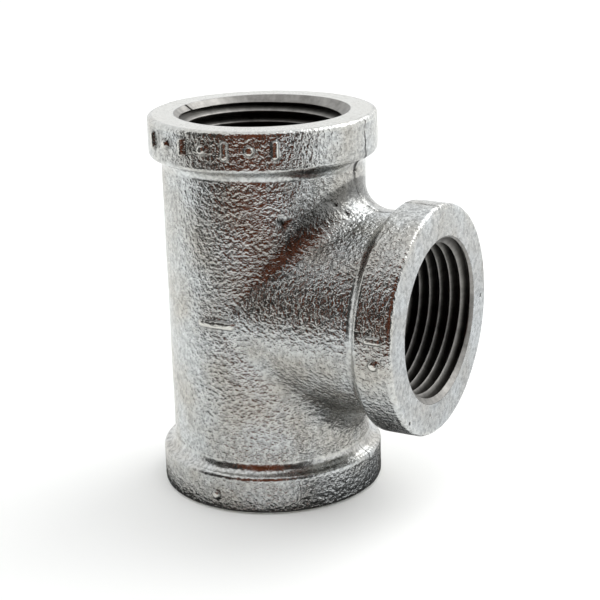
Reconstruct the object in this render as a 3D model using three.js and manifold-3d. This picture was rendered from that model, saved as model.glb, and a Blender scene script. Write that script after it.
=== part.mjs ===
// A one inch banded pipe tee: malleable iron, galvanised outside, its three ends tapped with taper thread.
// Millimetres. +Z runs along the straight run and +X along the branch. The origin is under the middle of
// the fitting's own box, on the surface that it stands on.
import * as THREE from "three";
import { ParametricGeometry } from "three/addons/geometries/ParametricGeometry.js";
import { mergeVertices } from "three/addons/utils/BufferGeometryUtils.js";
import Module from "manifold-3d";

const wasm = await Module();
wasm.setup();

// Driving dimensions of the casting, as class 150 malleable fittings have them.
const CENTRE_TO_END = 38.1;
const BAND_RADIUS = 22.5;
const BAND_WIDTH = 7.9;
const BODY_RADIUS = 20.1;
const CROTCH_RADIUS = 6;
const CORE_RADIUS = 16.2;
const BRANCH_CORE_RADIUS = 16;

// The taper pipe thread: 11.5 threads in an inch, 1 in 16 on the diameter.
const PITCH = 25.4 / 11.5;
const THREAD_LENGTH = 18;
const THREAD_HEIGHT = 0.8 * PITCH;
const PITCH_RADIUS_AT_MOUTH = 15.73;
const RADIUS_LOST_PER_DEPTH = 1 / 32;
const FLAT_WIDTH = 0.05 * PITCH;
const MOUTH_RADIUS = 17.2;
const BRANCH_MOUTH_RADIUS = 16.25;
const MOUTH_LIP = 0.1;
const ROOT_RISE = 0.35;
const RUNOUT_SLOPE = 0.5;

// Each tapped length is a sleeve that stands a small clearance off the bore round it.
const SEAT_RADIUS = 17.9;
const CLEARANCE = 0.3;
const SLEEVE_RADIUS = SEAT_RADIUS - CLEARANCE;

// The bands' rounded edges, and how far the cast marks stand proud.
const BAND_FACE_EDGE = 0.9;
const BAND_SHOULDER_EDGE = 1.3;
const MARK_PROUD = 0.45;
const MARK_ROOT = 0.8;
const MARK_SPACING = 4.7;
const BAR = { length: 1.1, height: 3.2 };
const PIP = { length: 1.4, height: 1.4 };
const BARREL_BAR = { length: 8.6, height: 1.5 };

const SHOULDER = CENTRE_TO_END - BAND_WIDTH;
const SEAT_END = CENTRE_TO_END - THREAD_LENGTH - CLEARANCE;
const CUT_PAST = 1;
const RUN_AXIS_X = (BAND_RADIUS - CENTRE_TO_END) / 2;
const FRONT = -Math.PI / 2;
const BACK = Math.PI / 2;

// How finely round things are divided.
const ROUND_SEGMENTS = 48;
const THREAD_SEGMENTS = 28;
const EDGE_STEPS = 2;
const NECK_ROWS = 2;
const CROTCH_ROWS = 4;
const BARREL_ROWS = 6;
const RIM_COLUMNS = 36;
const SEAM_COLUMNS = 12;
const SKIN_COLUMNS = 2 * (RIM_COLUMNS + SEAM_COLUMNS);
const SKIN_ROWS = NECK_ROWS + CROTCH_ROWS + BARREL_ROWS + 2;

const galvanised = new THREE.MeshStandardMaterial({ color: 0x9a9c9b, roughness: 0.42, metalness: 0.9 });
const tappedIron = new THREE.MeshStandardMaterial({ color: 0x55524e, roughness: 0.35, metalness: 0.9 });

// Points that lie together become one, and triangles left with no area are dropped.
function solidOf(geometry) {
  const bare = new THREE.BufferGeometry();
  bare.setAttribute("position", geometry.getAttribute("position"));
  bare.setIndex(geometry.index);
  const merged = mergeVertices(bare);
  const corners = merged.index.array;
  const kept = [];
  for (let i = 0; i < corners.length; i += 3) {
    const [a, b, c] = corners.slice(i, i + 3);
    if (a !== b && b !== c && c !== a) kept.push(a, b, c);
  }
  const triVerts = new Uint32Array(kept);
  const vertProperties = merged.getAttribute("position").array;
  return new wasm.Manifold(new wasm.Mesh({ numProp: 3, vertProperties, triVerts }));
}

function geometryOf(solid) {
  const mesh = solid.getMesh();
  const geometry = new THREE.BufferGeometry();
  geometry.setAttribute("position", new THREE.BufferAttribute(mesh.vertProperties, mesh.numProp));
  geometry.setIndex(new THREE.BufferAttribute(mesh.triVerts, 1));
  return geometry;
}

// A profile of [radius, height] points turned about Z.
function turned(profile) {
  const points = profile.map(([radius, height]) => new THREE.Vector2(radius, height));
  return new THREE.LatheGeometry(points, ROUND_SEGMENTS).rotateX(Math.PI / 2);
}

// A rounded corner of a profile: points on a quarter circle about its centre, from one angle on to the next.
function roundedCorner(centreRadius, centreHeight, size, fromAngle) {
  const points = [];
  for (let step = 0; step <= EDGE_STEPS; step++) {
    const angle = fromAngle + (Math.PI / 2) * (step / EDGE_STEPS);
    points.push([centreRadius + size * Math.cos(angle), centreHeight + size * Math.sin(angle)]);
  }
  return points;
}

// Round the unrolled barrel, from the middle of its top rim: along the rim to the back seam, down the seam,
// and along the bottom rim, then back up the other side. Gives the angle about Z, the height, and the edge.
function rimOfBarrel(u) {
  const side = u <= 0.5 ? 1 : -1;
  const way = Math.min(u, 1 - u);
  const corner = RIM_COLUMNS / 2 / SKIN_COLUMNS;
  if (way < corner) return { angle: (side * Math.PI * way) / corner, height: SHOULDER, onSeam: false };
  if (way > 0.5 - corner) {
    return { angle: (side * Math.PI * (0.5 - way)) / corner, height: -SHOULDER, onSeam: false };
  }
  const down = (way - corner) / (0.5 - 2 * corner);
  return { angle: side * Math.PI, height: SHOULDER * (1 - 2 * down), onSeam: true };
}

// The outer skin of the barrel and branch neck as one closed surface. Columns run round the branch axis.
// Rows go from the middle of the neck's end to its rim, in along the neck, through the crotch fillet, which
// is the path of a ball that touches both cylinders, and over the barrel to its rims, then close the ends.
function bodySkinPoint(u, v, point) {
  const row = Math.round(v * SKIN_ROWS);
  const around = 2 * Math.PI * u;
  const acrossX = Math.abs(Math.cos(around));
  const ballPath = BODY_RADIUS + CROTCH_RADIUS;
  if (row === 0) return point.set(SHOULDER, 0, 0);
  if (row <= NECK_ROWS) {
    const along = (row - 1) / NECK_ROWS;
    const x = SHOULDER + (ballPath * acrossX - SHOULDER) * along;
    return point.set(x, BODY_RADIUS * Math.sin(around), BODY_RADIUS * Math.cos(around));
  }
  if (row <= NECK_ROWS + CROTCH_ROWS + 1) {
    const turn = (row - NECK_ROWS - 1) / CROTCH_ROWS;
    const toBranch = new THREE.Vector3(0, -Math.sin(around), -Math.cos(around));
    const toRun = new THREE.Vector3(-acrossX, -Math.sin(around), 0);
    const toSkin = toBranch.lerp(toRun, turn).setLength(CROTCH_RADIUS);
    return point.set(acrossX, Math.sin(around), Math.cos(around)).multiplyScalar(ballPath).add(toSkin);
  }
  const rim = rimOfBarrel(u);
  if (row === SKIN_ROWS && !rim.onSeam) return point.set(0, 0, rim.height);
  const outwards = Math.min((row - NECK_ROWS - CROTCH_ROWS - 1) / BARREL_ROWS, 1);
  const startAngle = Math.atan2(Math.sin(around), acrossX);
  const startHeight = ballPath * Math.cos(around);
  const angle = startAngle + (rim.angle - startAngle) * outwards;
  const height = startHeight + (rim.height - startHeight) * outwards;
  return point.set(BODY_RADIUS * Math.cos(angle), BODY_RADIUS * Math.sin(angle), height);
}

// Something raised from a round wall about Z: a block between two radii, with its middle at an angle.
function raisedMark(wallRadius, middleAngle, middleHeight, { length, height }) {
  const half = length / 2 / wallRadius;
  const outline = new THREE.Shape();
  outline.absarc(0, 0, wallRadius + MARK_PROUD, middleAngle - half, middleAngle + half, false);
  outline.absarc(0, 0, wallRadius - MARK_ROOT, middleAngle + half, middleAngle - half, true);
  const block = new THREE.ExtrudeGeometry(outline, { depth: height, bevelEnabled: false, curveSegments: 3 });
  return block.translate(0, 0, middleHeight - height / 2);
}

// The barrel and neck, cored through both ways, with a wider seat at each end for the tapped length.
// A short raised bar stands half way up the barrel on each side.
function bodySolid() {
  const skin = solidOf(new ParametricGeometry(bodySkinPoint, SKIN_COLUMNS, SKIN_ROWS));
  const past = SHOULDER + CUT_PAST;
  const runBore = turned([
    [0, -past],
    [SEAT_RADIUS, -past],
    [SEAT_RADIUS, -SEAT_END],
    [CORE_RADIUS, -SEAT_END],
    [CORE_RADIUS, SEAT_END],
    [SEAT_RADIUS, SEAT_END],
    [SEAT_RADIUS, past],
    [0, past],
  ]);
  const branchBore = turned([
    [0, 0],
    [BRANCH_CORE_RADIUS, 0],
    [BRANCH_CORE_RADIUS, SEAT_END],
    [SEAT_RADIUS, SEAT_END],
    [SEAT_RADIUS, past],
    [0, past],
  ]).rotateY(Math.PI / 2);
  const frontBar = raisedMark(BODY_RADIUS, FRONT, 0, BARREL_BAR);
  const backBar = raisedMark(BODY_RADIUS, BACK, 0, BARREL_BAR);
  return skin
    .add(solidOf(frontBar))
    .add(solidOf(backBar))
    .subtract(solidOf(runBore))
    .subtract(solidOf(branchBore));
}

// A band: the thick ring round an end, from its shoulder to its flat face, with cast marks round its side.
// Each mark has its angle about the band's axis, its length round the band and its height.
function bandSolid(marks) {
  const faceRound = BAND_RADIUS - BAND_FACE_EDGE;
  const shoulderRound = BAND_RADIUS - BAND_SHOULDER_EDGE;
  const ring = turned([
    [SEAT_RADIUS, SHOULDER],
    ...roundedCorner(shoulderRound, SHOULDER + BAND_SHOULDER_EDGE, BAND_SHOULDER_EDGE, -Math.PI / 2),
    ...roundedCorner(faceRound, CENTRE_TO_END - BAND_FACE_EDGE, BAND_FACE_EDGE, 0),
    [SEAT_RADIUS, CENTRE_TO_END],
    [SEAT_RADIUS, SHOULDER],
  ]);
  const middle = SHOULDER + BAND_WIDTH / 2;
  return marks.reduce(
    (band, mark) => band.add(solidOf(raisedMark(BAND_RADIUS, mark.angle, middle, mark))),
    solidOf(ring),
  );
}

// One wall of the tapped hole at a depth behind the face: the thread's crest or root, opened out by the
// mouth's 45 degree chamfer, and running out to nothing at the inner end. A root wider than the mouth rises
// to its full depth a little way in.
function tappedRadius(depth, isRoot, mouthRadius) {
  const crest = PITCH_RADIUS_AT_MOUTH - THREAD_HEIGHT / 2 - depth * RADIUS_LOST_PER_DEPTH;
  const runout = Math.min(THREAD_HEIGHT, RUNOUT_SLOPE * (THREAD_LENGTH - depth));
  const thread = isRoot ? crest + runout : crest;
  const opening = mouthRadius - MOUTH_LIP + ROOT_RISE * depth;
  return Math.max(Math.min(thread, opening), mouthRadius - depth);
}

// One pitch of the thread's section: the two ends of its crest flat, then the two ends of its root flat.
const THREAD_STEPS = [
  { depth: 0, isRoot: false },
  { depth: FLAT_WIDTH, isRoot: false },
  { depth: PITCH / 2, isRoot: true },
  { depth: PITCH / 2 + FLAT_WIDTH, isRoot: true },
];
const THREAD_ROWS = THREAD_STEPS.length * Math.ceil((THREAD_LENGTH + PITCH) / PITCH);
const SLEEVE_ROWS = THREAD_ROWS + 3;

// A tapped sleeve. Each row of the thread climbs one pitch as it goes once round, so the last column meets
// the first column one pitch of rows on, and the rows past either end are held at that end. The first row is
// the sleeve's outside at the face, and the last two are its outside at the inner end and at the face again.
function sleevePoint(u, v, point, mouthRadius) {
  const row = Math.round(v * SLEEVE_ROWS) - 1;
  let depth = row === THREAD_ROWS + 1 ? THREAD_LENGTH : 0;
  let radius = SLEEVE_RADIUS;
  if (row >= 0 && row <= THREAD_ROWS) {
    const step = THREAD_STEPS[row % THREAD_STEPS.length];
    const pitchesDown = Math.floor(row / THREAD_STEPS.length);
    depth = THREE.MathUtils.clamp((pitchesDown - u) * PITCH + step.depth, 0, THREAD_LENGTH);
    radius = tappedRadius(depth, step.isRoot, mouthRadius);
  }
  const angle = 2 * Math.PI * u;
  point.set(radius * Math.cos(angle), radius * Math.sin(angle), CENTRE_TO_END - depth);
}

function sleeveSolid(mouthRadius) {
  const pointOf = (u, v, point) => sleevePoint(u, v, point, mouthRadius);
  return solidOf(new ParametricGeometry(pointOf, THREAD_SEGMENTS, SLEEVE_ROWS));
}

function namedMesh(name, solid, material) {
  const mesh = new THREE.Mesh(geometryOf(solid), material);
  mesh.name = name;
  return mesh;
}

// One end of the fitting, built about the centre with its face towards +Z: its band and its tapped sleeve.
function fittingEnd(name, marks, mouthRadius) {
  const end = new THREE.Group();
  end.add(namedMesh(`${name}_band`, bandSolid(marks), galvanised));
  end.add(namedMesh(`${name}_thread`, sleeveSolid(mouthRadius), tappedIron));
  return end;
}

// A row of marks about one side of a band, the two kinds by turns.
function markRow(middleAngle, count, kinds) {
  return Array.from({ length: count }, (_, place) => {
    const away = (place - (count - 1) / 2) * MARK_SPACING;
    return { angle: middleAngle + away / BAND_RADIUS, ...kinds[place % kinds.length] };
  });
}

const topMarks = [...markRow(FRONT, 7, [BAR, PIP]), ...markRow(BACK, 3, [BAR, PIP])];
const bottomMarks = [...markRow(FRONT, 1, [PIP]), ...markRow(BACK, 1, [PIP])];
const branchMarks = [...markRow(FRONT, 2, [BAR, PIP]), ...markRow(BACK, 2, [BAR, PIP])];
const topEnd = fittingEnd("top", topMarks, MOUTH_RADIUS);
const bottomEnd = fittingEnd("bottom", bottomMarks, MOUTH_RADIUS);
bottomEnd.rotation.x = Math.PI;
const branchEnd = fittingEnd("branch", branchMarks, BRANCH_MOUTH_RADIUS);
branchEnd.rotation.y = Math.PI / 2;

const fitting = new THREE.Group();
fitting.add(namedMesh("tee_body", bodySolid(), galvanised));
fitting.add(topEnd, bottomEnd, branchEnd);
fitting.position.set(RUN_AXIS_X, 0, CENTRE_TO_END);

export default fitting;
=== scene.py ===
"""A galvanised one inch pipe tee: the fine cast skin, the tapped threads, and the studio round them."""
import itertools
import math

import bpy
import numpy as np
from mathutils import Matrix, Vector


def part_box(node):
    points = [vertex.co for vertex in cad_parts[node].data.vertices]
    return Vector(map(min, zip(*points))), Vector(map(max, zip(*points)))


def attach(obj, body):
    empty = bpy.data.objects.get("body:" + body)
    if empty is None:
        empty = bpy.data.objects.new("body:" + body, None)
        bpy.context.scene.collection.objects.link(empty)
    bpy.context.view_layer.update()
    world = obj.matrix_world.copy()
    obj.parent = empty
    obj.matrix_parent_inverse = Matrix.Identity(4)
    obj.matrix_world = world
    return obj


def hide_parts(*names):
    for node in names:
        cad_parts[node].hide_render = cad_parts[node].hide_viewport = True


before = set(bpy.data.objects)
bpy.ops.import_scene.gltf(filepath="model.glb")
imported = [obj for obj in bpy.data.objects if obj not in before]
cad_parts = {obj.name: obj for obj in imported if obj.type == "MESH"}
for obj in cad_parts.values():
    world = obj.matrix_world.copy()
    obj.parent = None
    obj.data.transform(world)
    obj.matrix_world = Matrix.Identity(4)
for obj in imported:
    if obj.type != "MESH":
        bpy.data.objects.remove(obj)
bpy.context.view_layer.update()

MM = 0.001


# ---- Sizes, in millimetres, from the frame --------------------------------------------------------

def span(node):
    """Lowest and highest corner of a CAD node, in millimetres."""
    low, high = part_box(node)
    return np.array(low) / MM, np.array(high) / MM


TOP_LOW, TOP_HIGH = span("top_band")
BRANCH_LOW, BRANCH_HIGH = span("branch_band")
BODY_LOW, _ = span("tee_body")
THREAD_LOW, THREAD_HIGH = span("top_thread")

RUN_X = (TOP_LOW[0] + TOP_HIGH[0]) / 2
BRANCH_Z = (BRANCH_LOW[2] + BRANCH_HIGH[2]) / 2
CENTRE = np.array([RUN_X, 0.0, BRANCH_Z])
CENTRE_TO_END = TOP_HIGH[2] - BRANCH_Z
SHOULDER = TOP_LOW[2] - BRANCH_Z
BAND_RADIUS = (TOP_HIGH[0] - TOP_LOW[0]) / 2
BODY_RADIUS = RUN_X - BODY_LOW[0]
THREAD_LENGTH = THREAD_HIGH[2] - THREAD_LOW[2]

# The casting's own round-overs: in the crotch, where the barrel rises to a band, and on the band's edges.
# The rise is an S of a hollow and a round arc, which meet at the tilt that makes up the band's step.
CROTCH_RADIUS = 6.0
HOLLOW_ROUND = 2.2
SHOULDER_ROUND = 1.0
RISE_TILT = math.acos(1 - (BAND_RADIUS - BODY_RADIUS) / (HOLLOW_ROUND + SHOULDER_ROUND))
FACE_ROUND = 0.9
SIDE_SETBACK = 0.9
SIDE_START = SHOULDER + SIDE_SETBACK
BODY_END = SIDE_START - (HOLLOW_ROUND + SHOULDER_ROUND) * math.sin(RISE_TILT)
# The foot's face is pressed flat this far above the floor.
FOOT_LIFT = 0.02

# The taper pipe thread, 11.5 in an inch and 1 in 16 on the diameter, and the chamfer at its mouth.
PITCH = 25.4 / 11.5
THREAD_HEIGHT = 0.8 * PITCH
PITCH_RADIUS_AT_MOUTH = 15.73
CREST_RADIUS_AT_MOUTH = PITCH_RADIUS_AT_MOUTH - THREAD_HEIGHT / 2
RADIUS_LOST_PER_DEPTH = 1 / 32
THREAD_FLAT = 0.05
MOUTH_RADIUS = 17.2
MOUTH_RADII = {"top": MOUTH_RADIUS, "bottom": MOUTH_RADIUS, "branch": 16.25}
# Near the mouth the thread's roots stay this far inside the mouth's edge, and widen by this much per depth.
MOUTH_LIP = 0.1
ROOT_RISE = 0.35
RUNOUT_SLOPE = 0.6
INNER_CONE = 2.5
# Where on the turn each end's thread starts, in pitches.
THREAD_STARTS = {"top": 0.65, "bottom": 0.1, "branch": 0.3}
# Degrees round the mouth and sideways lean of the nicks in each chamfer.
NICKS = {"top": [(183.0, -0.6)], "bottom": [], "branch": []}
NICK_WIDTH = 0.22
NICK_DEPTH = 0.3
# The torn metal on the crests: its height, size and seed, and how near the crest it starts.
TORN_HEIGHT = 0.03
TORN_GRAIN = 0.9
TORN_SEED = 5
WORN_FROM = 0.75

# Hidden fits: the sleeve's outside, then the bore round it.
SLEEVE_GAP = 0.02
FIT = 0.05
SLEEVE_RADIUS = MOUTH_RADIUS + SLEEVE_GAP
BORE_RADIUS = MOUTH_RADIUS + FIT

# How each end lies: the columns are where its own x, y and outward z point.
END_TURNS = {
    "top": np.array([[1, 0, 0], [0, 1, 0], [0, 0, 1]]),
    "bottom": np.array([[1, 0, 0], [0, -1, 0], [0, 0, -1]]),
    "branch": np.array([[0, 0, 1], [0, 1, 0], [-1, 0, 0]]),
}
FRONT = -math.pi / 2
BACK = math.pi / 2
# The crack in the parting line, where the barrel meets the top band on the branch's side, in metres.
CRACK_OUT = 0.5
CRACK_BELOW = 1.2
CRACK_PLACE = tuple(((CENTRE + [BODY_RADIUS + CRACK_OUT, 0, SHOULDER - CRACK_BELOW]) * MM).tolist())

# Grids, fine enough to carry the cast relief.
RIM_COLUMNS = 188
SEAM_COLUMNS = 72
SKIN_COLUMNS = 2 * (RIM_COLUMNS + SEAM_COLUMNS)
NECK_ROWS = 54
CROTCH_ROWS = 20
BARREL_ROWS = 76
INNER_ROWS = 8
BAND_COLUMNS = 640
BAND_STEP = 0.22
THREAD_COLUMNS = 400
ROWS_PER_PITCH = 18
WELD = 1e-4
SHARP_ANGLE = 50

# Noise: how many random slopes it picks from, the whole numbers that mix a corner's place into a pick, and
# the factor that brings it to about -1 to 1.
SLOPE_COUNT = 4096
MIXERS = (73856093, 19349663, 83492791)
NOISE_GAIN = 1.6

# The cast skin's relief as height, size and seed: waves of the mould, lumps of the zinc and coarse grain.
RELIEF = [(0.05, 9.0, 1), (0.03, 3.1, 2), (0.035, 1.4, 3)]

# The parting line: a groove and a step across it, how far and over what size it wanders, and over what size
# it comes and goes.
GROOVE_DEPTH = 0.12
GROOVE_WIDTH = 0.26
STEP_HEIGHT = 0.09
STEP_WIDTH = 0.25
STEP_REACH = 5.0
LINE_WANDER = 0.3
WANDER_SIZE = 3.0
WANDER_SEED = 4
BREAK_SIZE = 5.0
BREAK_SEED = 6
BREAK_RANGE = (-0.35, 0.25)

# The crotch's hollow, in grid rows, and how smooth it is and how dark the shade painted in it is, above
# and below the branch.
VALLEY_ROW = 17
VALLEY_WIDTH = 9
VALLEY_SMOOTH = (0.5, 0.25)
VALLEY_SHADE = (0.75, 0.1)

# Raised marks: their outlines, how far they stand, how soft their edges are, how dark the shade painted in
# the corner round them is, and how smooth their tops are and how bright, as rubbed wear and partly painted
# highlight.
BAR = {"length": 1.2, "height": 3.4, "corner": 0.5}
PIP = {"length": 1.7, "height": 1.7, "corner": 0.85}
BARREL_BAR = {"length": 8.0, "height": 1.4, "corner": 0.5}
MARK_PROUD = 0.65
MARK_EDGE = (-0.3, 0.35)
MARK_CORNER_SHADE = 0.65
MARK_SMOOTH = 0.7
MARK_SHINE = 0.9
MARK_SPACING = 4.7

# How bright each band's face is, as rubbed wear and partly painted highlight, how much of the parting line
# shows on it, and how squarely a wall has to point its way to count as side or face.
FACE_SHINE = {"top": 0.85, "bottom": 0.85, "branch": 0.0}
FACE_LINE = 0.2
FACING = 0.7


# ---- Noise and relief -----------------------------------------------------------------------------

def lattice_noise(points, cell, seed):
    """Smooth noise from about -1 to 1. Each corner of a cubic lattice of `cell` mm holds a random slope;
    the eight slopes round a point are blended by 6t^5 - 15t^4 + 10t^3 along each side."""
    slopes = np.random.default_rng(seed).normal(size=(SLOPE_COUNT, 3))
    slopes /= np.linalg.norm(slopes, axis=1, keepdims=True)
    scaled = points / cell
    base = np.floor(scaled).astype(np.int64)
    inside = scaled - base
    ease = inside ** 3 * (inside * (inside * 6 - 15) + 10)
    total = np.zeros(points.shape[:-1])
    for corner in itertools.product((0, 1), repeat=3):
        at = base + corner
        mixed = (at[..., 0] * MIXERS[0]) ^ (at[..., 1] * MIXERS[1]) ^ (at[..., 2] * MIXERS[2])
        slope = slopes[mixed % SLOPE_COUNT]
        weight = np.prod(np.where(corner, ease, 1 - ease), axis=-1)
        total += weight * np.sum(slope * (inside - corner), axis=-1)
    return total * NOISE_GAIN


def smoothstep(low, high, value):
    """0 below low, 1 above high, and 3t^2 - 2t^3 between."""
    t = np.clip((value - low) / (high - low), 0, 1)
    return t * t * (3 - 2 * t)


def cast_relief(points):
    """Height of the as-cast skin over the smooth shape, by place from the fitting's centre: the sum of each
    layer's height times its noise."""
    return sum(height * lattice_noise(points, size, seed) for height, size, seed in RELIEF)


def parting_line(points):
    """The mould's joint in the plane y = 0: a shallow groove that wanders and comes and goes, a bell across,
    and the far half standing a hair higher than the near one, by tanh(y) under a wide bell."""
    y = points[..., 1] + LINE_WANDER * lattice_noise(points, WANDER_SIZE, WANDER_SEED)
    present = smoothstep(*BREAK_RANGE, lattice_noise(points, BREAK_SIZE, BREAK_SEED))
    groove = -GROOVE_DEPTH * present * np.exp(-(y / GROOVE_WIDTH) ** 2)
    step = STEP_HEIGHT * (1 + np.tanh(y / STEP_WIDTH)) / 2 * np.exp(-(y / STEP_REACH) ** 2)
    return groove + step


def raised_shape(along, up, mark):
    """A mark's height over the wall, from 0 to 1: 1 inside a rounded outline, falling off softly round it.
    The distance to the outline is that of a rounded rectangle, which is a circle when its sides are zero."""
    half = np.array([mark["length"], mark["height"]]) / 2
    corner = mark["corner"]
    out_along = np.maximum(np.abs(along) - half[0] + corner, 0)
    out_up = np.maximum(np.abs(up) - half[1] + corner, 0)
    distance = np.hypot(out_along, out_up) - corner
    return 1 - smoothstep(*MARK_EDGE, distance)


def mark_corner_shade(rise):
    """Painted shade in the corner round a raised mark: 4w(1 - w), where w is the root of the mark's rise."""
    root = np.sqrt(rise)
    return MARK_CORNER_SHADE * 4 * root * (1 - root)


# ---- Meshes ---------------------------------------------------------------------------------------

def grid_triangles(rows, columns, skip=None):
    """Two triangles for each cell of a grid whose points are numbered row by row, and whose last row and
    column meet the first. Skip marks cells to leave open."""
    row = np.arange(rows)[:, None]
    column = np.arange(columns)[None, :]
    a = row * columns + column
    b = row * columns + (column + 1) % columns
    c = (row + 1) % rows * columns + (column + 1) % columns
    d = (row + 1) % rows * columns + column
    keep = np.ones(a.shape, bool) if skip is None else ~skip
    first = np.stack([a, b, d], -1)[keep]
    second = np.stack([b, c, d], -1)[keep]
    return np.concatenate([first, second])


def add_piece(name, points, triangles, material, nodes, attributes=None, uv=None):
    """Makes a welded, smooth mesh of points in mm from the fitting's centre, and puts it in the frame.
    Points closer than WELD become one, and triangles that this leaves with no area are dropped."""
    flat = points.reshape(-1, 3)
    keys = np.round(flat / WELD).astype(np.int64)
    _, first, welded = np.unique(keys, axis=0, return_index=True, return_inverse=True)
    corners = welded.ravel()[triangles]
    a, b, c = corners.T
    whole = (a != b) & (b != c) & (c != a)
    corners = corners[whole]
    mesh = bpy.data.meshes.new(name)
    mesh.vertices.add(len(first))
    mesh.vertices.foreach_set("co", ((flat[first] + CENTRE) * MM).ravel())
    mesh.loops.add(corners.size)
    mesh.loops.foreach_set("vertex_index", corners.ravel())
    mesh.polygons.add(len(corners))
    mesh.polygons.foreach_set("loop_start", np.arange(0, corners.size, 3))
    mesh.polygons.foreach_set("use_smooth", np.ones(len(corners), bool))
    for key, values in (attributes or {}).items():
        layer = mesh.attributes.new(key, "FLOAT", "POINT")
        layer.data.foreach_set("value", values.ravel()[first])
    if uv is not None:
        layer = mesh.uv_layers.new(name="way_round")
        layer.data.foreach_set("uv", uv.reshape(-1, 2)[triangles[whole]].ravel())
    mesh.update(calc_edges=True)
    mesh.set_sharp_from_angle(angle=math.radians(SHARP_ANGLE))
    mesh.materials.append(material)
    piece = bpy.data.objects.new(name, mesh)
    bpy.context.collection.objects.link(piece)
    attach(piece, "root")
    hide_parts(*nodes)
    return piece


def turned_to_end(local, end):
    """Points or directions in an end's own axes, turned into the fitting's."""
    return local @ END_TURNS[end].T


# ---- Barrel and branch neck -----------------------------------------------------------------------

def barrel_rim():
    """Walks once round the unrolled barrel, from the middle of its top rim, along the rim, down the back
    seam, along the bottom rim and back up. Gives each column's angle about Z, its height, and if it is on
    the seam."""
    u = np.arange(SKIN_COLUMNS) / SKIN_COLUMNS
    side = np.where(u <= 0.5, 1, -1)
    way = np.minimum(u, 1 - u)
    corner = RIM_COLUMNS / 2 / SKIN_COLUMNS
    top = way <= corner
    bottom = way >= 0.5 - corner
    down = (way - corner) / (0.5 - 2 * corner)
    angle = np.where(top, way / corner, np.where(bottom, (0.5 - way) / corner, 1)) * math.pi * side
    height = BODY_END * np.where(top, 1, np.where(bottom, -1, 1 - 2 * down))
    on_seam = (way >= corner) & (way <= 0.5 - corner)
    return angle, height, on_seam


def body_skin(radius, crotch, neck_rows, crotch_rows, barrel_rows):
    """Points and normals of the barrel and neck. Columns go round the branch axis at angle f from +Z.
    Neck: (x, r sin f, r cos f), with x from the neck's end to the ball path. Crotch: the path of a ball of
    the crotch's radius that touches both cylinders is (r + c)(|cos f|, sin f, cos f), and the skin is where
    the ball faces the metal. Barrel: (r cos a, r sin a, z), with a and z straight from crotch to rim."""
    around = 2 * math.pi * (np.arange(SKIN_COLUMNS) + 0.5) / SKIN_COLUMNS
    sine, cosine = np.sin(around)[None], np.cos(around)[None]
    across = np.abs(cosine)
    flat = np.zeros_like(sine)
    path = radius + crotch

    along = (np.arange(neck_rows) / neck_rows)[:, None]
    neck_x = BODY_END + (path * across - BODY_END) * along
    even = np.ones_like(neck_x)
    neck_normals = np.stack([flat * even, sine * even, cosine * even], -1)
    neck = radius * neck_normals + np.stack([neck_x, flat * even, flat * even], -1)

    turn = (np.arange(crotch_rows + 1) / crotch_rows)[:, None, None]
    to_branch = -np.stack([flat, sine, cosine], -1)
    to_run = -np.stack([across, sine, flat], -1)
    facing = to_branch * (1 - turn) + to_run * turn
    facing /= np.linalg.norm(facing, axis=-1, keepdims=True)
    crotch_points = path * np.stack([across, sine, cosine], -1) + crotch * facing

    outwards = (np.arange(1, barrel_rows + 1) / barrel_rows)[:, None]
    rim_angle, rim_height, _ = barrel_rim()
    start_angle = np.arctan2(sine, across)
    angle = start_angle + (rim_angle - start_angle) * outwards
    height = path * cosine + (rim_height - path * cosine) * outwards
    barrel_normals = np.stack([np.cos(angle), np.sin(angle), 0 * angle], -1)
    barrel = radius * barrel_normals + np.stack([0 * angle, 0 * angle, height], -1)

    points = np.concatenate([neck, crotch_points, barrel])
    normals = np.concatenate([neck_normals, -facing, barrel_normals])
    return points, normals


# Angle about Z in degrees, height from the centre, radius and depth of each pit in the barrel's skin.
PITS = [
    (-50.8, 20.4, 0.8, 0.55),
    (1.0, 28.0, 0.7, 0.4),
    (-46.8, 20.9, 0.34, 0.3),
    (-19.0, 22.3, 0.45, 0.3),
    (-14.7, 20.7, 0.4, 0.3),
    (-128.0, -14.0, 0.4, 0.2),
    (150.0, 6.0, 0.5, 0.3),
    (70.0, 19.0, 0.45, 0.25),
]
# Angle in the branch's own axes in degrees, radius from its axis, radius and depth of each pit in its face.
FACE_PITS = [
    (88.0, 20.0, 0.42, 0.35),
    (-15.0, 18.4, 0.3, 0.22),
    (-41.0, 21.3, 0.4, 0.25),
]


def hollows(across, along, pits):
    """Depth and darkening of round pits over a flat map of the wall, in mm: each is a bell about its middle.
    """
    depth = np.zeros(np.broadcast(across, along).shape)
    darkening = np.zeros(depth.shape)
    for middle_across, middle_along, radius, deepest in pits:
        bell = np.exp(-((across - middle_across) ** 2 + (along - middle_along) ** 2) / radius ** 2)
        depth += deepest * bell
        darkening = np.maximum(darkening, smoothstep(0.2, 0.7, bell))
    return depth, darkening


def barrel_features(points):
    """Over the barrel: the height of the bars at each side's middle less the pits, the darkening of the pits
    with the shade painted round the bars, and the bars.
    """
    across = np.arctan2(points[..., 1], points[..., 0]) * BODY_RADIUS
    height = points[..., 2]
    bars = sum(raised_shape(across - middle * BODY_RADIUS, height, BARREL_BAR) for middle in (FRONT, BACK))
    pits = [(math.radians(pit[0]) * BODY_RADIUS, *pit[1:]) for pit in PITS]
    depth, darkening = hollows(across, height, pits)
    return MARK_PROUD * bars - depth, np.maximum(darkening, mark_corner_shade(bars)), bars


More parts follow.
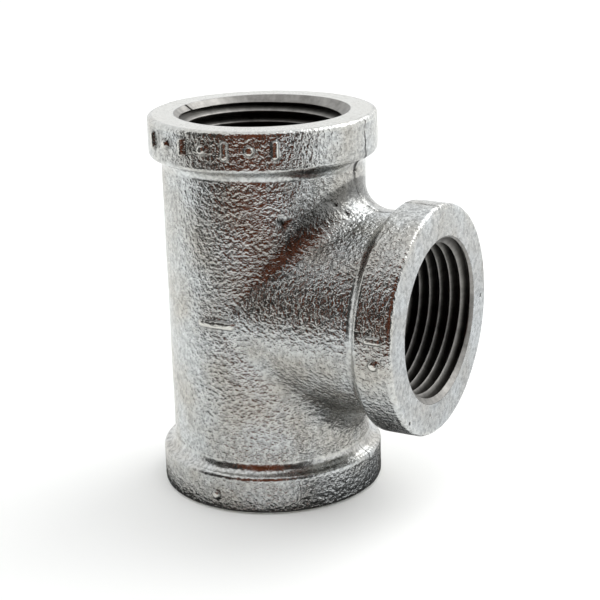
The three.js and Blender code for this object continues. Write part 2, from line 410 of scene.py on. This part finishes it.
def make_body(material):
    """The barrel and neck: the cast skin outside, with the bore inside it, closed at the three rims. The
    strip between skin and bore is left out along the back seam, where the skin meets itself."""
    outer, normals = body_skin(BODY_RADIUS, CROTCH_RADIUS, NECK_ROWS, CROTCH_ROWS, BARREL_ROWS)
    around = 2 * math.pi * (np.arange(SKIN_COLUMNS) + 0.5) / SKIN_COLUMNS
    features, darkening, bars = barrel_features(outer)
    relief = cast_relief(outer) + parting_line(outer) + features
    skin = outer + normals * relief[..., None]
    inner, _ = body_skin(BORE_RADIUS, 0.0, INNER_ROWS, 1, INNER_ROWS)
    grid = np.concatenate([skin, inner[::-1]])
    _, _, on_seam = barrel_rim()
    skip = np.zeros(grid.shape[:2], bool)
    skip[len(skin) - 1] = on_seam & np.roll(on_seam, -1)
    triangles = grid_triangles(len(grid), SKIN_COLUMNS, skip=skip)
    # The zinc ran smooth in the crotch, most of all above the branch, where shade is painted in too, darker
    # above the branch than below.
    above = np.cos(around)
    row = np.arange(len(grid))[:, None]
    valley = np.exp(-((row - NECK_ROWS - VALLEY_ROW) / VALLEY_WIDTH) ** 2) * np.abs(above)
    inside = np.zeros(inner.shape[:2])
    marks = np.concatenate([bars, inside])
    attributes = {
        "smooth": valley * np.where(above > 0, *VALLEY_SMOOTH) + MARK_SMOOTH * marks,
        "darkening": np.maximum(np.concatenate([darkening, inside]), valley * np.where(above > 0, *VALLEY_SHADE)),
        "rubbed_and_highlight": MARK_SHINE * marks,
        "line": np.where(row < len(skin), 1.0, 0 * marks),
    }
    return add_piece("cast_body", grid, triangles, material, ["tee_body"], attributes)


# ---- Bands ----------------------------------------------------------------------------------------

def arc(centre, radius, start, end):
    """Points on an arc of [radius, height] between two angles in degrees, about BAND_STEP apart."""
    count = max(3, round(abs(math.radians(end - start)) * radius / BAND_STEP))
    angle = np.radians(np.linspace(start, end, count + 1))
    return np.stack([centre[0] + radius * np.cos(angle), centre[1] + radius * np.sin(angle)], -1)


def line(start, end, step):
    """Points on a straight line, about step apart, without its two ends."""
    count = max(2, round(math.dist(start, end) / step))
    way = (np.arange(1, count) / count)[:, None]
    return np.array(start) + (np.array(end) - np.array(start)) * way


def band_profile(mouth_radius):
    """The band's section as [radius, height] from the centre: up from the barrel through a hollow and a
    round shoulder, straight up its side, over the face's round edge, in across the face, and down the bore.
    With each point go how much cast relief it has, how smooth it is, and how much it is lightened as rubbed
    wear and partly painted highlight."""
    tilt = math.degrees(RISE_TILT)
    rise = arc((BODY_RADIUS + HOLLOW_ROUND, BODY_END), HOLLOW_ROUND, 180, 180 - tilt)
    over = arc((BAND_RADIUS - SHOULDER_ROUND, SIDE_START), SHOULDER_ROUND, -tilt, 0)[1:]
    edge = arc((BAND_RADIUS - FACE_ROUND, CENTRE_TO_END - FACE_ROUND), FACE_ROUND, 0, 90)
    side = line(over[-1], edge[0], BAND_STEP)
    mouth = [mouth_radius + FIT, CENTRE_TO_END]
    ledge = [BORE_RADIUS, CENTRE_TO_END - max(BORE_RADIUS - mouth[0], FIT)]
    face = line(edge[-1], mouth, BAND_STEP)
    inner = np.array([mouth, ledge, [BORE_RADIUS, BODY_END]])
    stretches = [
        (rise, (0.7, 0.9, 0)),
        (over, (0.8, 0.7, 0)),
        (side, (1, 0, 0)),
        (edge, (0.7, 0.4, 0.5)),
        (face, (0.25, 0.7, 1)),
        (inner, (0, 0, 0)),
    ]
    points = np.concatenate([stretch for stretch, _ in stretches])
    weights = np.concatenate([np.tile(weight, (len(stretch), 1)) for stretch, weight in stretches])
    return points, weights


def band_marks(angle, height, marks):
    """Rise of a band's raised marks over its side, from 0 to 1, for each angle and height."""
    middle = (SIDE_START + CENTRE_TO_END) / 2
    total = np.zeros(np.broadcast(angle, height).shape)
    for mark_angle, mark in marks:
        away = (angle - mark_angle + math.pi) % (2 * math.pi) - math.pi
        total = np.maximum(total, raised_shape(away * BAND_RADIUS, height - middle, mark))
    return total


def make_band(end, marks, pits, material):
    """A band: its profile turned about the end's axis, with cast relief, marks and pits along its normals."""
    profile, weights = band_profile(MOUTH_RADII[end])
    angle = 2 * math.pi * np.arange(BAND_COLUMNS) / BAND_COLUMNS
    radius, height = profile[:, :1], profile[:, 1:]
    local = np.stack([radius * np.cos(angle), radius * np.sin(angle), height + 0 * angle], -1)
    tangent = np.gradient(profile, axis=0)
    tangent /= np.linalg.norm(tangent, axis=1, keepdims=True)
    out, up = tangent[:, 1:], -tangent[:, :1]
    normals = np.stack([out * np.cos(angle), out * np.sin(angle), up + 0 * angle], -1)
    points = turned_to_end(local, end)
    rough, smooth, rubbed_and_highlight = weights.T[..., None] * np.ones_like(angle)
    on_side = (height < CENTRE_TO_END) & (out > FACING)
    on_face = (up > FACING) & (radius < BAND_RADIUS)
    flat_pits = [
        (away * math.cos(math.radians(degrees)), away * math.sin(math.radians(degrees)), *size)
        for degrees, away, *size in pits
    ]
    depth, darkening = hollows(local[..., 0], local[..., 1], flat_pits)
    relief = (cast_relief(points) + parting_line(points)) * rough
    rise = band_marks(angle[None], height, marks) * on_side
    relief += MARK_PROUD * rise - depth * on_face
    grid = points + turned_to_end(normals, end) * relief[..., None]
    grid[..., 2] = np.maximum(grid[..., 2], FOOT_LIFT - BRANCH_Z)
    triangles = grid_triangles(len(grid), BAND_COLUMNS)
    attributes = {
        "smooth": np.maximum(smooth, MARK_SMOOTH * rise),
        "rubbed_and_highlight": np.maximum(rubbed_and_highlight * FACE_SHINE[end], MARK_SHINE * rise),
        # Shade is painted into the corner round each raised mark, and the face's pits are darkened.
        "darkening": np.maximum(darkening * on_face, mark_corner_shade(rise)),
        "line": np.where(on_face, FACE_LINE, 1) * np.ones_like(angle),
    }
    return add_piece(f"cast_{end}_band", grid, triangles, material, [f"{end}_band"], attributes)


def mark_row(middle, count, kinds):
    """Marks evenly spaced about a band's side, the kinds by turns."""
    return [
        (middle + (place - (count - 1) / 2) * MARK_SPACING / BAND_RADIUS, kinds[place % len(kinds)])
        for place in range(count)
    ]


# ---- Threads --------------------------------------------------------------------------------------

def thread_section(phase):
    """0 on the thread's crest and 1 in its root, for a phase in pitches: a triangle wave cut flat at both."""
    away = np.abs((phase + 0.5) % 1 - 0.5) * 2
    return np.clip((away - THREAD_FLAT) / (1 - 2 * THREAD_FLAT), 0, 1)


def make_thread(end, material):
    """A tapped length as a sheared grid: row k of column u lies k/n - u + start pitches deep, so each row
    climbs one pitch as it goes once round, and the last column meets the first one n rows on. Rows past
    either end are held there. The wall is the thread or the mouth's chamfer, whichever is wider, and the
    thread runs out before a short cone down to the cast hollow. A nick is a notch cut across the chamfer."""
    mouth_radius = MOUTH_RADII[end]
    pitches = math.ceil(THREAD_LENGTH / PITCH) + 1
    rows = np.arange(-ROWS_PER_PITCH, pitches * ROWS_PER_PITCH + 1)[:, None] / ROWS_PER_PITCH
    u = np.arange(THREAD_COLUMNS + 1)[None] / THREAD_COLUMNS
    angle = 2 * math.pi * u
    depth = np.clip((rows - u + THREAD_STARTS[end]) * PITCH, 0, THREAD_LENGTH)
    section = thread_section(rows + 0 * u)
    crest = CREST_RADIUS_AT_MOUTH - depth * RADIUS_LOST_PER_DEPTH
    runout = np.minimum(THREAD_HEIGHT, RUNOUT_SLOPE * (THREAD_LENGTH - depth))
    chamfer = mouth_radius - depth
    opening = mouth_radius - MOUTH_LIP + ROOT_RISE * depth
    thread = np.minimum(crest + runout * section, opening)
    radius = np.maximum(thread, chamfer)
    on_chamfer = (chamfer > thread).astype(float)
    cut = np.zeros_like(radius)
    for degrees, lean in NICKS[end]:
        across = (angle - math.radians(degrees)) * MOUTH_RADIUS - lean * depth
        cut = np.maximum(cut, np.exp(-(across / NICK_WIDTH) ** 2) * on_chamfer)
    bare = np.stack([radius * np.cos(angle), radius * np.sin(angle), depth], -1)
    torn = TORN_HEIGHT * lattice_noise(bare, TORN_GRAIN, TORN_SEED)
    worn = smoothstep(WORN_FROM, 1.0, 1 - section) * (1 - on_chamfer)
    wall = radius + torn * worn + NICK_DEPTH * cut
    end_row = np.ones_like(u)
    rim_radius = (mouth_radius + SLEEVE_GAP) * end_row
    ledge_depth = SLEEVE_RADIUS - rim_radius
    cone_radius = crest[-1:] + INNER_CONE
    cone_depth = (THREAD_LENGTH + INNER_CONE) * end_row
    depths = np.concatenate([ledge_depth, 0 * end_row, depth, cone_depth, cone_depth])
    radii = np.concatenate([SLEEVE_RADIUS * end_row, rim_radius, wall, cone_radius, SLEEVE_RADIUS * end_row])
    around_wall = ((2, 2), (0, 0))
    # The crest mask carries painted highlight on the crests and chamfer and painted shade in the roots.
    attributes = {
        "crest": np.pad(np.maximum(1 - section, on_chamfer) * (1 - cut), around_wall),
        "darkening": np.pad(cut, around_wall),
    }
    local = np.stack([radii * np.cos(angle), radii * np.sin(angle), CENTRE_TO_END - depths], -1)
    way_round = np.stack(np.broadcast_arrays(angle * MOUTH_RADIUS, depths), -1)
    triangles = grid_triangles(len(local), THREAD_COLUMNS + 1)
    spans_seam = np.ptp(triangles % (THREAD_COLUMNS + 1), axis=1) > 1
    name = f"tapped_{end}_thread"
    points = turned_to_end(local, end)
    return add_piece(name, points, triangles[~spans_seam], material, [f"{end}_thread"], attributes, way_round)


# ---- Materials ------------------------------------------------------------------------------------

def colour(hex_code):
    """An sRGB hex colour as linear red, green, blue and alpha."""
    values = [int(hex_code[i:i + 2], 16) / 255 for i in (1, 3, 5)]
    linear = [v / 12.92 if v <= 0.04045 else ((v + 0.055) / 1.055) ** 2.4 for v in values]
    return (*linear, 1.0)


def per_mm(size):
    """The texture scale that gives a feature of that size in mm, on coordinates in metres."""
    return 1 / (size * MM)


def add_node(tree, kind, settings=None, inputs=None, links=None):
    """Adds a node, sets its properties and inputs, and links inputs from other nodes' outputs."""
    node = tree.nodes.new(kind)
    for key, value in (settings or {}).items():
        setattr(node, key, value)
    for key, value in (inputs or {}).items():
        node.inputs[key].default_value = value
    for key, (source, output) in (links or {}).items():
        tree.links.new(source.outputs[output], node.inputs[key])
    return node


def new_material(name):
    """An empty material with its output and principled shader."""
    material = bpy.data.materials.new(name)
    material.use_nodes = True
    tree = material.node_tree
    tree.nodes.clear()
    shader = add_node(tree, "ShaderNodeBsdfPrincipled")
    add_node(tree, "ShaderNodeOutputMaterial", links={"Surface": (shader, "BSDF")})
    return material, tree, shader


def galvanised_casting():
    """Hot-dip galvanised malleable iron, as cast: zinc over sand-moulded skin. It gives a satin that is
    broken into glints and dark specks by the sand's grain, and runs smooth in the hollows where the zinc
    drained.
    End faces and the tops of raised marks are lightened, as rubbed wear and partly as painted highlight;
    shade is painted into the crotch and round raised marks, and pits are darkened."""
    material, tree, shader = new_material("hot_dip_galvanised_casting")
    place = add_node(tree, "ShaderNodeTexCoord")
    smooth = add_node(tree, "ShaderNodeAttribute", {"attribute_name": "smooth"})
    rubbed_and_highlight = add_node(tree, "ShaderNodeAttribute", {"attribute_name": "rubbed_and_highlight"})
    darkening = add_node(tree, "ShaderNodeAttribute", {"attribute_name": "darkening"})
    line_shown = add_node(tree, "ShaderNodeAttribute", {"attribute_name": "line"})
    # Sand grain under the zinc: bumps and dents about 0.75 mm apart, and finer pimples of 0.4 mm.
    sand = add_node(tree, "ShaderNodeTexNoise",
                    inputs={"Scale": per_mm(0.75), "Detail": 2.0, "Roughness": 0.5},
                    links={"Vector": (place, "Object")})
    dents = add_node(tree, "ShaderNodeMapRange", {"interpolation_type": "SMOOTHSTEP"},
                     {"From Min": 0.25, "From Max": 0.72}, {"Value": (sand, "Fac")})
    # The dents hold dull zinc and dirt.
    dent_tone = add_node(tree, "ShaderNodeMapRange",
                         inputs={"From Min": 0.2, "From Max": 0.65, "To Min": 0.74, "To Max": 1.05},
                         links={"Value": (dents, "Result")})
    pimples = add_node(tree, "ShaderNodeTexNoise", inputs={"Scale": per_mm(0.4), "Detail": 1.0},
                       links={"Vector": (place, "Object")})
    # The zinc's tone drifts over about 9 mm, and flecks of 1.2 mm sit in it.
    drift = add_node(tree, "ShaderNodeTexNoise", inputs={"Scale": per_mm(9), "Detail": 2.0},
                     links={"Vector": (place, "Object")})
    flecks = add_node(tree, "ShaderNodeTexNoise",
                      inputs={"Scale": per_mm(1.2), "Detail": 3.0, "Roughness": 0.65},
                      links={"Vector": (place, "Object")})
    tone = add_node(tree, "ShaderNodeValToRGB", links={"Fac": (drift, "Fac")})
    tone.color_ramp.elements[0].position = 0.35
    tone.color_ramp.elements[0].color = colour("#C2C0BA")
    tone.color_ramp.elements[1].position = 0.65
    tone.color_ramp.elements[1].color = colour("#D0D3D3")
    fleck_tone = add_node(tree, "ShaderNodeMapRange",
                          inputs={"From Min": 0.35, "From Max": 0.6, "To Min": 0.78, "To Max": 1.0},
                          links={"Value": (flecks, "Fac")})
    speckled = add_node(tree, "ShaderNodeMix", {"data_type": "RGBA", "blend_type": "MULTIPLY"},
                        {"Factor": 1.0}, {6: (tone, "Color"), 7: (fleck_tone, "Result")})
    dented = add_node(tree, "ShaderNodeMix", {"data_type": "RGBA", "blend_type": "MULTIPLY"},
                      {"Factor": 1.0}, {6: (speckled, 2), 7: (dent_tone, "Result")})
    # End faces and mark tops are lightened: rubbed wear, and partly painted highlight.
    bright = add_node(tree, "ShaderNodeMix", {"data_type": "RGBA"}, {7: colour("#DAD9D3")},
                      {"Factor": (rubbed_and_highlight, "Fac"), 6: (dented, 2)})
    # The parting line holds dirt along y = 0: thin and broken, and a wide crack under the top band.
    wander = add_node(tree, "ShaderNodeTexNoise", inputs={"Scale": per_mm(2.5), "Detail": 2.0},
                      links={"Vector": (place, "Object")})
    parts = add_node(tree, "ShaderNodeSeparateXYZ", links={0: (place, "Object")})
    shifted = add_node(tree, "ShaderNodeMath", {"operation": "MULTIPLY_ADD"}, {1: 1.2 * MM, 2: -0.6 * MM},
                       {0: (wander, "Fac")})
    off_plane = add_node(tree, "ShaderNodeMath", {"operation": "ADD"},
                         links={0: (parts, "Y"), 1: (shifted, 0)})
    away = add_node(tree, "ShaderNodeMath", {"operation": "ABSOLUTE"}, links={0: (off_plane, 0)})
    to_crack = add_node(tree, "ShaderNodeVectorMath", {"operation": "DISTANCE"}, {1: CRACK_PLACE},
                        {0: (place, "Object")})
    half_width = add_node(tree, "ShaderNodeMapRange",
                          inputs={"From Max": 5 * MM, "To Min": 1.2 * MM, "To Max": 0.13 * MM},
                          links={"Value": (to_crack, "Value")})
    seam = add_node(tree, "ShaderNodeMapRange", {"interpolation_type": "SMOOTHSTEP"},
                    {"To Min": 1.0, "To Max": 0.0}, {"Value": (away, 0), "From Max": (half_width, "Result")})
    broken = add_node(tree, "ShaderNodeMapRange", inputs={"From Min": 0.42, "From Max": 0.58},
                      links={"Value": (drift, "Fac")})
    near_crack = add_node(tree, "ShaderNodeMapRange",
                          inputs={"From Min": 2 * MM, "From Max": 4.5 * MM, "To Min": 1.0, "To Max": 0.0},
                          links={"Value": (to_crack, "Value")})
    present = add_node(tree, "ShaderNodeMath", {"operation": "MAXIMUM"},
                       links={0: (broken, 0), 1: (near_crack, 0)})
    seam_dirt = add_node(tree, "ShaderNodeMath", {"operation": "MULTIPLY"},
                         links={0: (seam, 0), 1: (present, 0)})
    line_dirt = add_node(tree, "ShaderNodeMath", {"operation": "MULTIPLY"},
                         links={0: (seam_dirt, 0), 1: (line_shown, "Fac")})
    # The parting line's dirt joins the shade painted in the crotch and round raised marks, and the darkened
    # pits; all go towards near-black.
    dirt_and_shade = add_node(tree, "ShaderNodeMath", {"operation": "MAXIMUM"},
                        links={0: (line_dirt, 0), 1: (darkening, "Fac")})
    shown_dirt_and_shade = add_node(tree, "ShaderNodeMath", {"operation": "MULTIPLY"}, {1: 0.95}, {0: (dirt_and_shade, 0)})
    soiled_and_shaded = add_node(tree, "ShaderNodeMix", {"data_type": "RGBA"}, {7: colour("#1A1917")},
                      {"Factor": (shown_dirt_and_shade, 0), 6: (bright, 2)})
    gloss = add_node(tree, "ShaderNodeMapRange",
                     inputs={"From Min": 0.3, "From Max": 0.7, "To Min": 0.15, "To Max": 0.3},
                     links={"Value": (flecks, "Fac")})
    grain = add_node(tree, "ShaderNodeMapRange", inputs={"To Min": 1.0, "To Max": 0.12},
                     links={"Value": (smooth, "Fac")})
    coarse = add_node(tree, "ShaderNodeBump", inputs={"Distance": 0.125 * MM},
                      links={"Height": (dents, "Result"), "Strength": (grain, "Result")})
    fine = add_node(tree, "ShaderNodeBump", inputs={"Distance": 0.11 * MM},
                    links={"Height": (pimples, "Fac"), "Strength": (grain, "Result"),
                           "Normal": (coarse, "Normal")})
    cracked = add_node(tree, "ShaderNodeBump", {"invert": True}, {"Distance": 0.15 * MM},
                       {"Height": (line_dirt, 0), "Normal": (fine, "Normal")})
    shader.inputs["Metallic"].default_value = 1.0
    tree.links.new(soiled_and_shaded.outputs[2], shader.inputs["Base Color"])
    tree.links.new(gloss.outputs["Result"], shader.inputs["Roughness"])
    tree.links.new(cracked.outputs["Normal"], shader.inputs["Normal"])
    return material


def tapped_iron():
    """Bare malleable iron cut by a tap after the zinc bath, and oiled. Shade is painted dark into the
    thread's roots, and highlight is painted as soft grey lines on the crests and over the satin chamfer with
    the tool's fine rings; the nicks are darkened near to black."""
    material, tree, shader = new_material("tapped_bare_iron")
    crest = add_node(tree, "ShaderNodeAttribute", {"attribute_name": "crest"})
    darkening = add_node(tree, "ShaderNodeAttribute", {"attribute_name": "darkening"})
    # Painted shade in the thread's roots and painted highlight on the crests and chamfer, by the crest mask.
    tone = add_node(tree, "ShaderNodeValToRGB", links={"Fac": (crest, "Fac")})
    tone.color_ramp.elements[0].position = 0.5
    tone.color_ramp.elements[0].color = colour("#55534F")
    tone.color_ramp.elements[1].position = 1.0
    tone.color_ramp.elements[1].color = colour("#A4A29E")
    # The tool's rings run round the bore: 8 mm long in the way round and 0.3 mm across, drawn coarser than
    # real ones so that they show.
    way = add_node(tree, "ShaderNodeUVMap", {"uv_map": "way_round"})
    stretched = add_node(tree, "ShaderNodeMapping", inputs={"Scale": (1 / 8, 1 / 0.3, 1.0)},
                         links={"Vector": (way, "UV")})
    rings = add_node(tree, "ShaderNodeTexNoise", inputs={"Scale": 1.0, "Detail": 2.0},
                     links={"Vector": (stretched, 0)})
    # Stains and torn metal, about 2.5 mm.
    stains = add_node(tree, "ShaderNodeTexNoise", inputs={"Scale": 1 / 2.5, "Detail": 4.0, "Roughness": 0.65},
                      links={"Vector": (way, "UV")})
    stain_tone = add_node(tree, "ShaderNodeMapRange",
                          inputs={"From Min": 0.35, "From Max": 0.65, "To Min": 0.6, "To Max": 1.0},
                          links={"Value": (stains, "Fac")})
    stained = add_node(tree, "ShaderNodeMix", {"data_type": "RGBA", "blend_type": "MULTIPLY"},
                       {"Factor": 1.0}, {6: (tone, "Color"), 7: (stain_tone, "Result")})
    nicked = add_node(tree, "ShaderNodeMix", {"data_type": "RGBA"}, {7: colour("#141311")},
                      {"Factor": (darkening, "Fac"), 6: (stained, 2)})
    gloss = add_node(tree, "ShaderNodeMapRange", inputs={"To Min": 0.38, "To Max": 0.58},
                     links={"Value": (rings, "Fac")})
    turned = add_node(tree, "ShaderNodeBump", inputs={"Strength": 0.8, "Distance": 0.05 * MM},
                      links={"Height": (rings, "Fac")})
    torn = add_node(tree, "ShaderNodeBump", inputs={"Strength": 0.6, "Distance": 0.12 * MM},
                    links={"Height": (stains, "Fac"), "Normal": (turned, "Normal")})
    shader.inputs["Metallic"].default_value = 1.0
    tree.links.new(nicked.outputs[2], shader.inputs["Base Color"])
    tree.links.new(gloss.outputs["Result"], shader.inputs["Roughness"])
    tree.links.new(torn.outputs["Normal"], shader.inputs["Normal"])
    return material


# ---- Camera and studio ----------------------------------------------------------------------------

# The camera's place about the run's axis and over the floor, and how it is turned, in degrees and mm.
CAMERA_AZIMUTH = 30.575
CAMERA_DISTANCE = 292.756
CAMERA_HEIGHT = 130.158
CAMERA_YAW = -1.256
CAMERA_PITCH = 17.652
CAMERA_ROLL = -1.538
CAMERA_LENS = 90.77
SENSOR_WIDTH = 36.0

# The studio, in mm. Each sheet has its azimuths in degrees, its inner and outer radius about the run's axis,
# how far it rises at the outer one, and its colour.
WORLD_STRENGTH = 1.12
FLOOR_REACH = 4000
PAPER_ROUGHNESS = 0.9
SHEET_ROUGHNESS = 0.9
SHEET_STEPS = 24
SHEET_LIFT = 0.5
MIRRORED_SHEETS = [
    ("brown_cloth", (-98, -47), 135, 450, 850, "#5E2A06"),
    ("black_cloth", (-47, -15), 135, 450, 700, "#2B2A28"),
    ("grey_cloth", (-145, -98), 135, 450, 560, "#30302E"),
    # Painted shade beside the branch, and painted contact shadow round the foot, which only the metal
    # mirrors.
    ("side_shade", (25, 90), 45, 330, 0, "#D4D5D6"),
    ("foot_contact_shadow", (-180, 180), BAND_RADIUS - 1, BAND_RADIUS + 3, 0, "#3A3A3A"),
    ("foot_shade", (-45, 65), BAND_RADIUS + 3, BAND_RADIUS + 14, 0, "#606060"),
]
SOFTBOX_PLACE = (330, 520, 680)
SOFTBOX_SIZE = (800, 500)
SOFTBOX_WATTS = 3.6


def make_camera():
    """The camera stands away from the run's axis, turned towards the branch's side, and looks down."""
    turns = (CAMERA_AZIMUTH, CAMERA_YAW, CAMERA_PITCH, CAMERA_ROLL)
    azimuth, yaw, pitch, roll = (math.radians(degrees) for degrees in turns)
    heading = azimuth + yaw
    level = math.cos(pitch)
    forward = np.array([-math.sin(heading) * level, math.cos(heading) * level, -math.sin(pitch)])
    right = np.cross(forward, [0, 0, 1])
    right /= np.linalg.norm(right)
    up = np.cross(right, forward)
    rolled_right = math.cos(roll) * right + math.sin(roll) * up
    rolled_up = -math.sin(roll) * right + math.cos(roll) * up
    sideways, back = CAMERA_DISTANCE * math.sin(azimuth), -CAMERA_DISTANCE * math.cos(azimuth)
    place = np.array([RUN_X + sideways, back, CAMERA_HEIGHT]) * MM
    data = bpy.data.cameras.new("camera")
    data.sensor_width = SENSOR_WIDTH
    data.lens = CAMERA_LENS
    camera = bpy.data.objects.new("camera", data)
    bpy.context.collection.objects.link(camera)
    turn = np.stack([rolled_right, rolled_up, -forward, place], -1)
    camera.matrix_world = Matrix([*turn.tolist(), [0, 0, 0, 1]])
    bpy.context.scene.camera = camera


def plain_material(name, hex_code, roughness):
    """A plain studio surface."""
    material, _, shader = new_material(name)
    shader.inputs["Base Color"].default_value = colour(hex_code)
    shader.inputs["Roughness"].default_value = roughness
    return material


def stage_card(name, points, cells, material):
    """A card or cloth of the stage, with its points in mm."""
    mesh = bpy.data.meshes.new(name)
    mesh.from_pydata((np.array(points) * MM).tolist(), [], np.array(cells).tolist())
    mesh.materials.append(material)
    card = bpy.data.objects.new(name, mesh)
    bpy.context.collection.objects.link(card)
    return card


def add_softbox(name, place, target, size, watts):
    """A white area light at a place in mm, facing a target."""
    data = bpy.data.lights.new(name, "AREA")
    data.shape = "RECTANGLE"
    data.size, data.size_y = size[0] * MM, size[1] * MM
    data.energy = watts
    light = bpy.data.objects.new(name, data)
    bpy.context.collection.objects.link(light)
    away = np.array(place, float) - np.array(target, float)
    back = away / np.linalg.norm(away)
    side = np.cross([0, 0, 1], back)
    side /= np.linalg.norm(side)
    up = np.cross(back, side)
    turn = np.stack([side, up, back, np.array(place) * MM], -1)
    light.matrix_world = Matrix([*turn.tolist(), [0, 0, 0, 1]])
    light.visible_camera = False


def make_world():
    """Soft light from all round; what the camera itself sees behind the object is plain white."""
    world = bpy.data.worlds.new("studio")
    bpy.context.scene.world = world
    world.use_nodes = True
    tree = world.node_tree
    tree.nodes.clear()
    seen = add_node(tree, "ShaderNodeBackground", inputs={"Color": colour("#FFFFFF"), "Strength": 1.0})
    around = add_node(tree, "ShaderNodeBackground",
                      inputs={"Color": colour("#F8F9FA"), "Strength": WORLD_STRENGTH})
    ray = add_node(tree, "ShaderNodeLightPath")
    mixed = add_node(tree, "ShaderNodeMixShader",
                     links={0: (ray, "Is Camera Ray"), 1: (around, 0), 2: (seen, 0)})
    add_node(tree, "ShaderNodeOutputWorld", links={"Surface": (mixed, 0)})


def mirrored_sheet(name, azimuths, inner, outer, rise, hex_code):
    """A sheet that only the metal mirrors, in mm: a strip on the floor between two azimuths, from the inner
    to the outer radius about the run's axis, and then straight up by `rise`. The dark ones in front are
    studio cloths; the ones round the foot are painted contact shadow, and the pale one beside the branch is
    painted shade."""
    azimuth = np.radians(np.linspace(*azimuths, SHEET_STEPS + 1))
    rows = [(inner, SHEET_LIFT), (outer, SHEET_LIFT)] + ([(outer, rise)] if rise else [])
    radius, height = (np.array(column)[:, None] for column in zip(*rows))
    points = np.stack([RUN_X + radius * np.cos(azimuth), radius * np.sin(azimuth), height + 0 * azimuth], -1)
    count = SHEET_STEPS + 1
    corner = (np.arange(len(rows) - 1)[:, None] * count + np.arange(SHEET_STEPS)).ravel()
    cells = np.stack([corner, corner + 1, corner + 1 + count, corner + count], -1)
    sheet = stage_card(name, points.reshape(-1, 3), cells, plain_material(name, hex_code, SHEET_ROUGHNESS))
    sheet.visible_camera = False
    sheet.visible_shadow = False
    sheet.visible_diffuse = False


def make_studio():
    """A pale floor; sheets that only the metal mirrors: dark cloths in front, painted shade beside the branch
    and painted contact shadow round the foot; and a softbox behind."""
    reach = FLOOR_REACH
    corners = [(-reach, -reach, 0), (reach, -reach, 0), (reach, reach, 0), (-reach, reach, 0)]
    stage_card("floor", corners, [(0, 1, 2, 3)], plain_material("pale_paper", "#F9F9F7", PAPER_ROUGHNESS))
    for sheet in MIRRORED_SHEETS:
        mirrored_sheet(*sheet)
    add_softbox("back_softbox", SOFTBOX_PLACE, (RUN_X, 0, BRANCH_Z), SOFTBOX_SIZE, SOFTBOX_WATTS)


# ---- The scene ------------------------------------------------------------------------------------

make_camera()
make_world()
make_studio()
bpy.context.scene.view_settings.view_transform = "Standard"

CASTING = galvanised_casting()
IRON = tapped_iron()

castings = [
    make_body(CASTING),
    make_band("top", mark_row(FRONT, 7, [BAR, PIP]) + mark_row(BACK, 3, [BAR, PIP]), [], CASTING),
    make_band("bottom", mark_row(FRONT, 1, [PIP]) + mark_row(BACK, 1, [PIP]), [], CASTING),
    make_band("branch", mark_row(FRONT, 2, [BAR, PIP]) + mark_row(BACK, 2, [BAR, PIP]), FACE_PITS, CASTING),
]
threads = [make_thread(end, IRON) for end in ("top", "bottom", "branch")]
